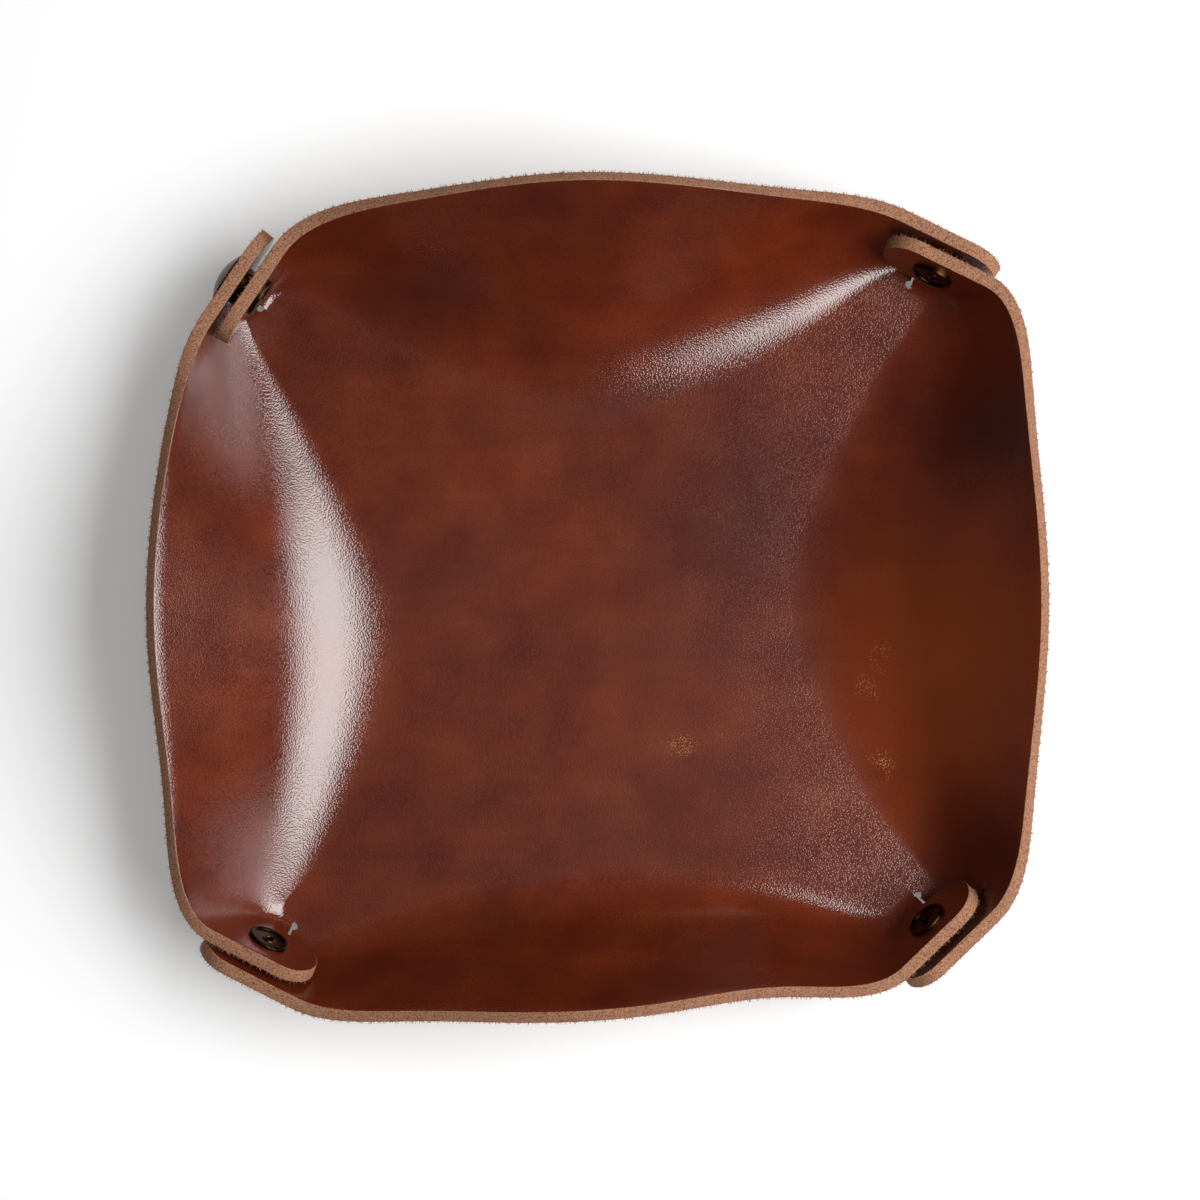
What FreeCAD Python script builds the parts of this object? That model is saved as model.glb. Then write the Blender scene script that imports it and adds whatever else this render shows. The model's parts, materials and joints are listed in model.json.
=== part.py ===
"""Valet tray: one leather blank, slit at the corners, whose overlapping tabs are held by press studs."""
import FreeCAD
import Part
import math
import os
from FreeCAD import Vector

# Driving dimensions, in millimetres and degrees

# Leather blank, as it stands when all four corners are snapped
half_width = 108.0            # rim of the left wall from the middle, at its widest
half_depth = 102.0            # rim of the back wall from the middle, at its widest
leather_thickness = 3.3
wall_height = 37.0            # outer edge of the rim, middle of a wall
corner_height = 25.0          # outer edge of the rim, at a snapped corner
corner_bend = 6.5             # outer radius of the bend, at a corner
overrun = 6.0                 # how far a cutting tool runs past what it cuts

# Corner tabs
tab_overlap = 28.0            # from the tip of the inner tab to the tip of the outer tab
tab_width = 16.8              # from the rim down to the lower edge of a tab
tip_flat = 7.5                # flat stretch from the press stud towards a tab's tip
wall_flat = 12.0              # flat stretch from the press stud towards its wall
tab_gap = 1.8                 # air between the two tabs
tab_curl_radius = 58.0        # curl of a tab in plan, past its flat stretch
relief_hole_radius = 1.4      # round end of a corner's slit
slit_kerf = 0.8
hinge_run = 20.0              # along the rim, from above the slit to where the outer tab bends
hinge_low = 5.0               # height at which the outer tab starts to bend, beside the slit
hinge_kerf = 0.1
hinge_offset = 0.4            # bend line outside the outer face of the leather

# Press stud
snap_drop = 9.6               # from the rim down the tab to the middle of the press stud
snap_sink = 0.4               # how deep the socket and the stud press into the leather
rivet_hole_radius = 1.6
fit_clearance = 0.05
running_gap = 0.15
sheet = 0.4                   # thickness of the pressed brass
tube_radius = 1.5
tube_bore = 1.0
lip = 0.25                    # thickness of a tube's turned lip
cap_lip_radius = 2.3
post_lip_radius = 1.9
cap_radius = 6.25
cap_height = 2.6
cap_edge = 0.7                # height of a cap's rolled edge
post_radius = 5.1
post_dish = 0.45              # height of a post's dished flange
post_bead = 0.5               # radius of the bead around it
post_ring = 0.75              # height of the raised ring around a post's bore
post_ring_radius = 1.8
stud_radius = 4.9
stud_neck = 2.3
stud_shoulder = 2.6           # widest part of a stud's head
stud_crown = 2.1              # top of a stud's head
stud_taper = 0.4              # height from its shoulder to its crown
socket_radius = 4.9
socket_bore = 3.0
socket_flare = 0.45           # how much wider the socket is at its mouth
spring_wire = 0.28            # radius of the wire
spring_radius = 2.8           # to the middle of the wire
spring_groove = 3.4
spring_open_deg = 30.0

# Layout, clockwise from the back left corner as seen from above
corner_names = ["back_left", "back_right", "front_right", "front_left"]
corner_plan_shares = [(-0.803, 0.746), (0.778, 0.833), (0.785, -0.817), (-0.780, -0.876)]
corner_heading_deg = [56.0, -26.0, -136.0, 153.0]
corner_reach = [5.2, 10.4, 12.4, 12.4]
slit_shift = [-1.5, -3.4, -2.6, -3.4]

# Middle of each wall, clockwise: back, right, front, left
wall_reach = [60.0, 60.0, 34.0, 60.0]     # from the flat floor to the rim in plan
wall_bend = [50.0, 50.0, 20.0, 50.0]      # outer radius of the bend
wall_fullness = [1.0, 1.0, 0.9, 0.85]    # below 1 the reach and the bend grow sooner past a corner

# Rim of each wall in plan, outer edge, clockwise: back, right, front, left
rim_plan_shares = [
    [(-0.424, 0.965), (-0.044, 1.003), (0.431, 0.974)],
    [(0.971, 0.480), (0.994, -0.024), (0.971, -0.480)],
    [(0.417, -0.941), (0.139, -0.971), (-0.139, -0.993), (-0.444, -0.999)],
    [(-0.973, -0.494), (-1.003, -0.070), (-0.962, 0.475)],
]
fold_room = 1.6               # how far the fold moves along a corner while the rim passes the press stud
stations_per_wall = 18
parts_folder = "parts"

Z = Vector(0, 0, 1)


def heading(degrees):
    """Unit vector in plan."""
    angle = math.radians(degrees)
    return Vector(math.cos(angle), math.sin(angle), 0)


def right_of(direction):
    return Vector(direction.y, -direction.x, 0)


def plan_point(shares):
    return Vector(shares[0] * half_width, shares[1] * half_depth, 0)


def bend_angle(reach, height, bend):
    """Slope of a wall that leaves the floor on an arc and runs on straight to its rim."""
    rise = height - bend
    return math.acos(-bend / math.hypot(rise, reach)) - math.atan2(reach, rise)


class Section:
    """One cut through a wall, from the fold to the rim.

    The cut is upright and square to the rim in plan, and then leans along the rim by its lean,
    so that the cuts of a corner can fan out from the end of its slit.
    """

    def __init__(self, rim, along, reach, height, bend, lean=0.0):
        self.along = along
        self.outward = right_of(along) * -1
        self.reach = reach
        self.height = height
        self.bend = bend
        self.lean = lean
        self.slope = bend_angle(reach, height, bend)
        self.base = rim - self.outward * reach - along * lean

    def place(self, out, up):
        return self.base + self.outward * out + self.along * (self.lean * up / self.height) + Z * up

    def arc_points(self, radius):
        """Start, middle and end of the bend at a radius about its centre above the floor."""
        angles = (0, self.slope / 2, self.slope)
        return [self.place(radius * math.sin(a), self.bend - radius * math.cos(a)) for a in angles]

    def rim_outside(self):
        return self.place(self.reach, self.height)

    def rim_inside(self):
        out = self.reach - leather_thickness * math.sin(self.slope)
        return self.place(out, self.height + leather_thickness * math.cos(self.slope))

    def wire(self):
        lower = self.arc_points(self.bend)
        upper = self.arc_points(self.bend - leather_thickness)
        edges = [
            bend_curve(lower),
            Part.LineSegment(lower[2], self.rim_outside()).toShape(),
            Part.LineSegment(self.rim_outside(), self.rim_inside()).toShape(),
            Part.LineSegment(self.rim_inside(), upper[2]).toShape(),
            bend_curve(upper[::-1]),
            Part.LineSegment(upper[0], lower[0]).toShape(),
        ]
        return Part.Wire(edges)


def bend_curve(points):
    return Part.Arc(*points).toShape()


class Corner:
    """Where two tabs overlap: the line midway between them at rim height, and the press stud's frame."""

    def __init__(self, index):
        self.name = corner_names[index]
        self.middle = plan_point(corner_plan_shares[index])
        self.along = heading(corner_heading_deg[index])
        self.outward = right_of(self.along) * -1
        self.reach = corner_reach[index]
        self.slit = slit_shift[index]
        self.slope = bend_angle(self.reach, corner_height, corner_bend)
        self.inner_rim = -tab_gap / 2 / math.sin(self.slope)
        self.outer_rim = self.inner_rim + (leather_thickness + tab_gap) / math.sin(self.slope)
        self.axis = self.outward * math.sin(self.slope) - Z * math.cos(self.slope)
        up_slope = self.outward * math.cos(self.slope) + Z * math.sin(self.slope)
        self.snap = self.middle + Z * corner_height - up_slope * snap_drop

    def tab_section(self, run, offset):
        """A cut through a tab, run along it from the press stud, with its rim offset outward."""
        past = max(0.0, abs(run) - tip_flat)
        side = math.copysign(1, run)
        turn = side * past / tab_curl_radius
        along = self.along * math.cos(turn) - self.outward * math.sin(turn)
        outward = right_of(along) * -1
        centre = self.middle + self.along * (run - side * past) - self.outward * tab_curl_radius
        rim = centre + outward * (tab_curl_radius + offset)
        return Section(rim, along, self.reach, corner_height, corner_bend)

    def wall_section(self, run, offset, base_run):
        """The cut where a wall leaves its flat stretch, fanned out from beside the slit."""
        rim = self.middle + self.along * run + self.outward * offset
        return Section(rim, self.along, self.reach, corner_height, corner_bend, run - base_run)

    def frame(self):
        """Placement of the press stud: its axis points out of the tray, its middle lies between the tabs."""
        rotation = FreeCAD.Rotation(self.along, self.axis.cross(self.along), self.axis, "ZXY")
        return FreeCAD.Placement(self.snap, rotation)


class Wall:
    """One wall from the tip of its inner tab to the tip of its outer tab, clockwise."""

    def __init__(self, index, corners):
        self.first = corners[index]
        self.last = corners[(index + 1) % len(corners)]
        tip = tab_overlap / 2 + overrun
        tip_runs = [tip_flat, (tip_flat + tip) / 2, tip]
        first, last = self.first, self.last
        inner_slit = first.slit + slit_kerf / 2
        outer_slit = last.slit - slit_kerf / 2
        self.inner_tab = [first.tab_section(-run, first.inner_rim) for run in reversed(tip_runs)]
        self.inner_tab.append(first.tab_section(inner_slit, first.inner_rim))
        self.outer_tab = [last.tab_section(run, last.outer_rim) for run in [outer_slit] + tip_runs]
        self.start = first.wall_section(wall_flat, first.inner_rim, inner_slit + fold_room)
        self.end = last.wall_section(-wall_flat, last.outer_rim, outer_slit - fold_room)
        self.reach = wall_reach[index]
        self.bend = wall_bend[index]
        self.fullness = wall_fullness[index]
        self.middle_part = self.between([plan_point(shares) for shares in rim_plan_shares[index]])

    def between(self, rim_points):
        """Cuts from the flat stretch of the first corner to that of the last one."""
        ends = [section.base + section.outward * section.reach + section.along * section.lean
                for section in (self.start, self.end)]
        curve = Part.BSplineCurve()
        curve.interpolate([ends[0]] + rim_points + [ends[1]],
                          InitialTangent=self.first.along, FinalTangent=self.last.along)
        sections = [self.start]
        for step in range(1, stations_per_wall):
            share = step / stations_per_wall
            parameter = curve.FirstParameter + share * (curve.LastParameter - curve.FirstParameter)
            tangent = Vector(*curve.tangent(parameter)[0])
            sections.append(self.section(curve.value(parameter), tangent, share))
        sections.append(self.end)
        return sections

    def section(self, rim, along, share):
        """A cut part of the way along the wall: 0 at its first corner, 1 at its last."""
        bulge = math.sin(math.pi * share)
        corner_way = self.first.reach + (self.last.reach - self.first.reach) * share
        lean_way = self.start.lean + (self.end.lean - self.start.lean) * share
        swell = bulge ** self.fullness
        reach = corner_way + (self.reach - corner_way) * swell
        height = corner_height + (wall_height - corner_height) * bulge ** 2
        bend = corner_bend + (self.bend - corner_bend) * swell
        return Section(rim, along, reach, height, bend, lean_way * (1 - bulge))

    def stations(self):
        return self.inner_tab + self.middle_part + self.outer_tab

    def floor_stations(self):
        return [self.inner_tab[-1]] + self.middle_part + [self.outer_tab[0]]

    def solid(self):
        return Part.makeLoft([s.wire() for s in self.stations()], True, True)


def prism(corner, outline, depth):
    """Solid through a corner, whose outline is given as run along the tabs and height."""
    points = [corner.middle + corner.along * run + Z * up - corner.outward * depth for run, up in outline]
    face = Part.Face(Part.makePolygon(points + points[:1]))
    return face.extrude(corner.outward * (2 * depth))


def tab_trim(corner, side):
    """What is cut off a wall past a slit: side -1 leaves its inner tab, side 1 its outer tab."""
    low = corner_height - tab_width * math.sin(corner.slope)
    top = corner_height + leather_thickness * abs(math.cos(corner.slope))
    tip_radius = (top - low) / 2
    tip_centre = side * (tab_overlap / 2 - tip_radius)
    edge = corner.slit - side * slit_kerf / 2
    far = side * (tab_overlap / 2 + 2 * overrun)
    depth = corner.reach + 2 * overrun
    above = top + overrun
    block = prism(corner, [(edge, -overrun), (far, -overrun), (far, above), (edge, above)], depth)
    strap = prism(corner, [(edge - side * overrun, low), (tip_centre, low), (tip_centre, top + 2 * overrun),
                           (edge - side * overrun, top + 2 * overrun)], 2 * depth)
    tip_start = corner.middle + corner.along * tip_centre + Z * (low + tip_radius) - corner.outward * depth
    tip = Part.makeCylinder(tip_radius, 2 * depth, tip_start, corner.outward)
    return block.cut(strap.fuse(tip))


def hinge_line(corner):
    """Lower and upper end of the line about which an outer tab bends, and the way to the tab's tip."""
    offset = corner.outer_rim + hinge_offset / math.sin(corner.slope)
    upper_run = corner.slit - hinge_run
    away = corner.outward * offset
    fall = (corner_height - hinge_low) / math.tan(corner.slope)
    upper = corner.middle + away + corner.along * upper_run + Z * corner_height
    lower = corner.middle + away - corner.outward * fall + corner.along * corner.slit + Z * hinge_low
    to_tip = corner.axis.cross((upper - lower).normalize())
    return lower, upper, to_tip * math.copysign(1, to_tip.dot(corner.along))


def tab_side(corner, back):
    """Block on the tab's side of its bend line, set back by a kerf."""
    lower, upper, to_tip = hinge_line(corner)
    size = 4 * tab_overlap
    up = (upper - lower).normalize()
    rotation = FreeCAD.Rotation(to_tip, up, to_tip.cross(up), "ZXY")
    block = Part.makeBox(size, size, size, Vector(back, -size / 2, -size / 2))
    block.Placement = FreeCAD.Placement(lower, rotation)
    return block


def rivet_hole(corner, inner):
    """Hole for a tube through one tab, with the flat seats that its two flanges press into the leather."""
    half_gap = tab_gap / 2
    side = -1 if inner else 1
    hidden_radius, shown_radius = (stud_radius, post_radius) if inner else (socket_radius, cap_radius)
    way = Vector(0, 0, side)
    far_face = way * (half_gap + leather_thickness)
    seat = Part.makeCylinder(hidden_radius + fit_clearance, half_gap + snap_sink, Vector(), way)
    hole = Part.makeCylinder(rivet_hole_radius, half_gap + leather_thickness + overrun, Vector(), way)
    press = Part.makeCylinder(shown_radius + fit_clearance, overrun, far_face, way)
    tool = seat.fuse(hole).fuse(press)
    tool.Placement = corner.frame()
    return tool


def is_fold_face(face):
    """Whether a wall meets the floor in this face."""
    middle = [sum(face.ParameterRange[:2]) / 2, sum(face.ParameterRange[2:]) / 2]
    upright = abs(face.normalAt(*middle).z) < 0.5
    return upright and face.BoundBox.ZMax < leather_thickness + hinge_kerf


def joined(walls, solids):
    """One solid from the walls and the floor between their folds."""
    stations = [section for wall in walls for section in wall.floor_stations()]
    low = [section.place(0, 0) for section in stations]
    high = [section.place(0, leather_thickness) for section in stations]
    faces = [Part.Face(Part.makePolygon(ring + ring[:1])) for ring in (low, high)]
    last = -1
    for wall in walls:
        corner_points = [low[last], low[last + 1], high[last + 1], high[last], low[last]]
        faces.append(Part.Face(Part.makePolygon(corner_points)))
        last += len(wall.floor_stations())
    for solid in solids:
        faces += [face for face in solid.Faces if not is_fold_face(face)]
    sewn = Part.Compound(faces)
    sewn.sewShape()
    return Part.Solid(sewn.Shells[0])


def relief_hole(corner, wall_before, wall_after):
    middle = (wall_before.outer_tab[0].base + wall_after.inner_tab[-1].base) * 0.5
    return Part.makeCylinder(relief_hole_radius, hinge_low + overrun, middle - Z * overrun, Z)


def leather_solids(corners, walls):
    """The blank's body, with the inner tabs, and its four outer tabs."""
    tabs = {}
    rests = []
    for wall in walls:
        ribbon = wall.solid()
        ribbon = ribbon.cut(tab_trim(wall.first, -1)).cut(tab_trim(wall.last, 1))
        tab = ribbon.common(tab_side(wall.last, hinge_kerf))
        tabs[wall.last.name] = tab.cut(rivet_hole(wall.last, False))
        rests.append(ribbon.cut(tab_side(wall.last, 0)).cut(rivet_hole(wall.first, True)))
    body = joined(walls, rests)
    for index, corner in enumerate(corners):
        body = body.cut(relief_hole(corner, walls[index - 1], walls[index]))
    return body, tabs


def turned(outline):
    """Solid turned about Z. Points are radius and height, and a pair of them bends through the first."""
    def at(point):
        return Vector(point[0], 0, point[1])

    edges = []
    here = outline[0]
    for step in outline[1:] + outline[:1]:
        if isinstance(step[0], tuple):
            through, there = step
            edges.append(Part.Arc(at(here), at(through), at(there)).toShape())
        else:
            there = step
            edges.append(Part.LineSegment(at(here), at(there)).toShape())
        here = there
    return Part.Face(Part.Wire(edges)).revolve(Vector(), Z, 360)


# Heights along a press stud's axis, from midway between the tabs, outward
outer_seat = tab_gap / 2 + snap_sink
outer_face = tab_gap / 2 + leather_thickness
socket_floor = outer_seat - sheet
stud_top = socket_floor - lip - running_gap
stud_base = -outer_seat + sheet
mouth = stud_base + running_gap
spring_level = stud_top - stud_taper - spring_wire - fit_clearance


def dome_middle(radius, edge, crown):
    """Point halfway along a spherical dome, from its crown on the axis to its edge."""
    rise = crown - edge
    sphere = (radius ** 2 + rise ** 2) / (2 * rise)
    half = math.asin(radius / sphere) / 2
    return sphere * math.sin(half), crown - sphere * (1 - math.cos(half))


def cap_solid():
    """Hollow dome with a back plate, and a tube whose lip holds the socket."""
    base = outer_face
    edge = base + cap_edge
    crown = base + cap_height
    curl = cap_edge / 2
    inside = cap_radius - sheet
    return turned([
        (0, crown), (dome_middle(cap_radius, edge, crown), (cap_radius, edge)),
        ((cap_radius - curl / 2, base + curl / 2), (cap_radius - curl, base)),
        (tube_radius, base), (tube_radius, socket_floor), (cap_lip_radius, socket_floor),
        (cap_lip_radius, socket_floor - lip), (tube_bore, socket_floor - lip), (tube_bore, base + sheet),
        (inside - curl, base + sheet), (inside, edge),
        (dome_middle(inside, edge, crown - sheet), (0, crown - sheet)),
    ])


def socket_solid():
    """Cup that takes the stud's head, with a groove for the spring."""
    bore = tube_radius + fit_clearance
    low = spring_level - spring_wire - fit_clearance
    high = spring_level + spring_wire + fit_clearance
    return turned([
        (bore, outer_seat), (socket_radius, outer_seat), (socket_radius, mouth),
        (socket_bore + socket_flare, mouth),
        (socket_bore, low), (spring_groove, low), (spring_groove, high), (socket_bore, high),
        (socket_bore, socket_floor), (bore, socket_floor),
    ])


def spring_solid():
    """Open ring of wire round the stud's neck."""
    centre = Vector(0, 0, spring_level)
    return Part.makeTorus(spring_radius, spring_wire, centre, Z, 0, 360, 360 - spring_open_deg)


def stud_solid():
    """Flange, neck and head, with a bore whose top takes the post's lip."""
    bore = tube_radius + fit_clearance
    lip_bore = post_lip_radius + fit_clearance
    shoulder = stud_top - stud_taper
    return turned([
        (bore, -outer_seat), (stud_radius, -outer_seat), (stud_radius, stud_base), (stud_neck, stud_base),
        (stud_neck, shoulder - fit_clearance), (stud_shoulder, shoulder), (stud_crown, stud_top),
        (lip_bore, stud_top), (lip_bore, stud_top - lip), (bore, stud_top - lip),
    ])


def post_solid():
    """Dished flange with a beaded edge and a raised ring, and a tube with a turned lip."""
    face = -outer_face
    bead_in = post_radius - 2 * post_bead
    bead_low = face - post_dish
    ring_mid = (tube_bore + post_ring_radius) / 2
    return turned([
        (tube_bore, stud_top), (tube_bore, bead_low),
        ((ring_mid, face - post_ring), (post_ring_radius, bead_low)),
        (bead_in, bead_low), ((post_radius - post_bead, bead_low - post_bead), (post_radius, bead_low)),
        (post_radius, face), (tube_radius, face), (tube_radius, stud_top - lip),
        (post_lip_radius, stud_top - lip), (post_lip_radius, stud_top),
    ])


def write(name, shape):
    shape.exportStep(os.path.join(parts_folder, name + ".step"))
    solids = len(shape.Solids)
    print(name, "solids", solids, "volume", round(shape.Volume), "valid", shape.isValid())


def main():
    os.makedirs(parts_folder, exist_ok=True)
    corners = [Corner(index) for index in range(len(corner_names))]
    walls = [Wall(index, corners) for index in range(len(corner_names))]
    body, tabs = leather_solids(corners, walls)
    write("leather_body", body)
    snap_makers = {"cap": cap_solid, "socket": socket_solid, "spring": spring_solid,
                   "stud": stud_solid, "post": post_solid}
    for corner in corners:
        write("corner_flap_" + corner.name, tabs[corner.name])
        for kind, make in snap_makers.items():
            piece = make()
            piece.Placement = corner.frame()
            write("snap_%s_%s" % (kind, corner.name), piece)
        lower, upper, to_tip = hinge_line(corner)
        axis = to_tip.cross(corner.axis)
        print("hinge", corner.name, "at", [round(v, 3) for v in lower], "axis", [round(v, 4) for v in axis])


if __name__ == "__main__":
    main()
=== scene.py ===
"""Leather valet tray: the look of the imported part, with its leather, its press studs and a studio."""
import json
import math
import random

import bpy
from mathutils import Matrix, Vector, noise

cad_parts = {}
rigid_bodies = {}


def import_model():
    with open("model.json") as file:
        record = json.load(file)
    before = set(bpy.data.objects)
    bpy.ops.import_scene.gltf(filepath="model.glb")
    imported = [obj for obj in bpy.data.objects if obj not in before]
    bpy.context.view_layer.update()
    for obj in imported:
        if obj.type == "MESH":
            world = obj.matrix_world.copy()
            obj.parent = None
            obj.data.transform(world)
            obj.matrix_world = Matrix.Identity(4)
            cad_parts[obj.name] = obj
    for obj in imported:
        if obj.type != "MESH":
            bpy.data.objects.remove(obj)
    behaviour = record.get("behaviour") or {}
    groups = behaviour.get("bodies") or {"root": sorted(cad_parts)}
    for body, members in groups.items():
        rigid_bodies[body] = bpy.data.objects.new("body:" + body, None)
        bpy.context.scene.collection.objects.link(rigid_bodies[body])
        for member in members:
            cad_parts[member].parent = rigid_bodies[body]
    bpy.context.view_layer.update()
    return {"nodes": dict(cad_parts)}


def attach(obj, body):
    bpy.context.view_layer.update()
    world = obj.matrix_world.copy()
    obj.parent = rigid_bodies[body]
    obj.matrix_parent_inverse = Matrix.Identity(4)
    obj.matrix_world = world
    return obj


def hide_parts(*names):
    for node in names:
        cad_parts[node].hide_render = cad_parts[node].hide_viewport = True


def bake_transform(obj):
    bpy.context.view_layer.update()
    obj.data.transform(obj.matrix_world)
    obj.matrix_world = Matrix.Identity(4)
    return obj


bl_info = {
    "name": "Leather valet tray",
    "version": (1, 0, 0),
    "blender": (4, 5, 0),
    "location": "View3D > Sidebar > Valet Tray",
    "description": "A tray folded from one leather blank, with a press stud at each corner",
    "category": "Add Mesh",
}

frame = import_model()

MM = 0.001
Z = Vector((0, 0, 1))

# Corners, clockwise from the back left as seen from above, and the rim of the wall after each of them
CORNER_NAMES = ["back_left", "back_right", "front_right", "front_left"]
CORNER_PLAN_SHARES = [(-0.803, 0.746), (0.778, 0.833), (0.785, -0.817), (-0.780, -0.876)]
CORNER_HEADING_DEG = [56, -26, -136, 153]
CORNER_REACH_MM = [5.2, 10.4, 12.4, 12.4]
SLIT_SHIFT_MM = [-1.5, -3.4, -2.6, -3.4]
RIM_PLAN_SHARES = [
    [(-0.424, 0.965), (-0.044, 1.003), (0.431, 0.974)],
    [(0.971, 0.480), (0.994, -0.024), (0.971, -0.480)],
    [(0.417, -0.941), (0.139, -0.971), (-0.139, -0.993), (-0.444, -0.999)],
    [(-0.973, -0.494), (-1.003, -0.070), (-0.962, 0.475)],
]
# Middle of each wall: floor to rim in plan, outer radius of its bend, and how soon both grow past a corner
WALL_REACH_MM = [60, 60, 34, 60]
WALL_BEND_MM = [50, 50, 20, 50]
WALL_FULLNESS = [1, 1, 0.9, 0.85]

# Passes in which the headings along a rim settle
RIM_PASSES = 40

# Slots of the leather's three surfaces
GRAIN, FLESH, EDGE = 0, 1, 2


def linear(hex_colour):
    """Linear red, green and blue of an sRGB hex colour."""
    channels = [int(hex_colour[place:place + 2], 16) / 255 for place in (1, 3, 5)]
    return [c / 12.92 if c <= 0.04045 else ((c + 0.055) / 1.055) ** 2.4 for c in channels]


def length(name, description, millimetres):
    return bpy.props.FloatProperty(name=name, description=description, default=millimetres * MM,
                                   unit="LENGTH", precision=5)


def colour(name, description, hex_colour):
    return bpy.props.FloatVectorProperty(name=name, description=description, default=linear(hex_colour),
                                         subtype="COLOR", min=0, max=1)


class LeatherSizes(bpy.types.PropertyGroup):
    """Sizes of the leather blank, as it stands when its corners are snapped."""
    half_width: length("Half width", "Middle of the tray to the left rim", 108)
    half_depth: length("Half depth", "Middle of the tray to the back rim", 102)
    thickness: length("Thickness", "Thickness of the leather", 3.3)
    wall_height: length("Wall height", "Rim of a wall at its middle", 37)
    corner_height: length("Corner height", "Rim at a snapped corner", 25)
    corner_bend: length("Corner bend", "Outer radius of the bend, at a corner", 6.5)
    tab_overlap: length("Tab overlap", "Tip of the inner tab to the tip of the outer tab", 28)
    tab_width: length("Tab width", "Rim down to the lower edge of a tab", 16.8)
    tip_flat: length("Tip flat", "Flat stretch from the press stud to a tab's tip", 7.5)
    wall_flat: length("Wall flat", "Flat stretch from the press stud to its wall", 12)
    tab_gap: length("Tab gap", "Air between two tabs", 1.8)
    tab_curl: length("Tab curl", "Radius to which a tab's tip curls", 58)
    fold_room: length("Fold room", "Shift of the fold along a corner's flat stretch", 1.6)
    slit_kerf: length("Slit", "Width of the cut that frees a tab", 0.8)
    slit_hole: length("Slit hole", "Radius of the round hole that ends a slit", 1.1)
    rivet_hole: length("Rivet hole", "Radius of the hole for a press stud", 1.6)
    snap_drop: length("Snap drop", "Rim down the tab to the middle of a press stud", 9.6)
    hinge_run: length("Hinge run", "Slit to the upper end of the line that a tab bends about", 20)
    hinge_low: length("Hinge low", "Height of the lower end of that line", 5)
    soft_edge: length("Soft edge", "Width of the rounding on a cut edge", 0.5)
    waviness: length("Waviness", "Height of the leather's slow waves", 0.5)


class Finishes(bpy.types.PropertyGroup):
    """Colours of the leather and of the press studs."""
    grain: colour("Grain", "Polished grain side", "#5e1e0b")
    # The dark and warm tones also serve the patches further down, where they paint shade and light as well as
    # patina
    grain_dark_and_shade: colour("Dark patina and painted shade", "Patches where oil has darkened the grain", "#2e0d07")
    grain_red_and_light: colour("Warm patina and painted light", "Patches where the dye is lighter", "#8a3a15")
    scuff: colour("Scuff", "Rubbed spots on the grain", "#d09a58")
    edge: colour("Cut edge", "Raw fibres of a cut edge", "#a87a5e")
    edge_dark: colour("Soiled edge", "Darker streaks in a cut edge", "#6e4632")
    flesh: colour("Flesh side", "Suede-like outer side", "#9a6a44")
    brass: colour("Antique brass", "Darkened brass of the press studs", "#1d1610")
    brass_worn: colour("Worn brass", "Brass where its dark finish has rubbed away", "#a87c44")
    wire: colour("Spring wire", "Steel wire of a socket's spring", "#8c8c8f")


class TraySettings(bpy.types.PropertyGroup):
    """All settings of the tray."""
    leather: bpy.props.PointerProperty(type=LeatherSizes)
    finishes: bpy.props.PointerProperty(type=Finishes)


def settings():
    return bpy.context.scene.valet_tray


# Shape of the leather

def right_of(direction):
    return Vector((direction.y, -direction.x, 0))


def plan_point(shares):
    sizes = settings().leather
    return Vector((shares[0] * sizes.half_width, shares[1] * sizes.half_depth, 0))


def bend_angle(reach, height, bend):
    """Slope of a wall that leaves the floor on an arc and runs on straight to its rim."""
    rise = height - bend
    return math.acos(-bend / math.hypot(rise, reach)) - math.atan2(reach, rise)


class Section:
    """One cut through a wall, from the fold to the rim, on the grain side."""

    def __init__(self, rim, along, reach, height, bend, lean=0.0):
        self.along = along.normalized()
        self.outward = -right_of(self.along)
        self.height = height
        self.lean = lean
        self.base = rim - self.outward * reach - self.along * lean
        thickness = settings().leather.thickness
        self.bend = bend
        self.radius = bend - thickness
        self.slope = bend_angle(reach, height, bend)
        self.arc = self.radius * self.slope
        self.rim_out = reach - thickness * math.sin(self.slope)
        self.rim_up = height + thickness * math.cos(self.slope)
        arc_out = self.radius * math.sin(self.slope)
        arc_up = bend - self.radius * math.cos(self.slope)
        self.straight = math.hypot(self.rim_out - arc_out, self.rim_up - arc_up)

    def place(self, out, up):
        return self.base + self.outward * out + self.along * (self.lean * up / self.height) + Z * up

    def at_share(self, share):
        """Point on the grain, from 0 at the fold to 1 at the rim."""
        run = share * (self.arc + self.straight)
        if run < self.arc:
            turn = run / self.radius
            return self.place(self.radius * math.sin(turn), self.bend - self.radius * math.cos(turn))
        left = self.arc + self.straight - run
        out = self.rim_out - left * math.cos(self.slope)
        return self.place(out, self.rim_up - left * math.sin(self.slope))

    def share_at(self, up):
        """Share at which the straight part reaches a height."""
        return 1 - (self.rim_up - up) / math.sin(self.slope) / (self.arc + self.straight)

    def at_height(self, up):
        return self.place(self.rim_out - (self.rim_up - up) / math.tan(self.slope), up)


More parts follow.
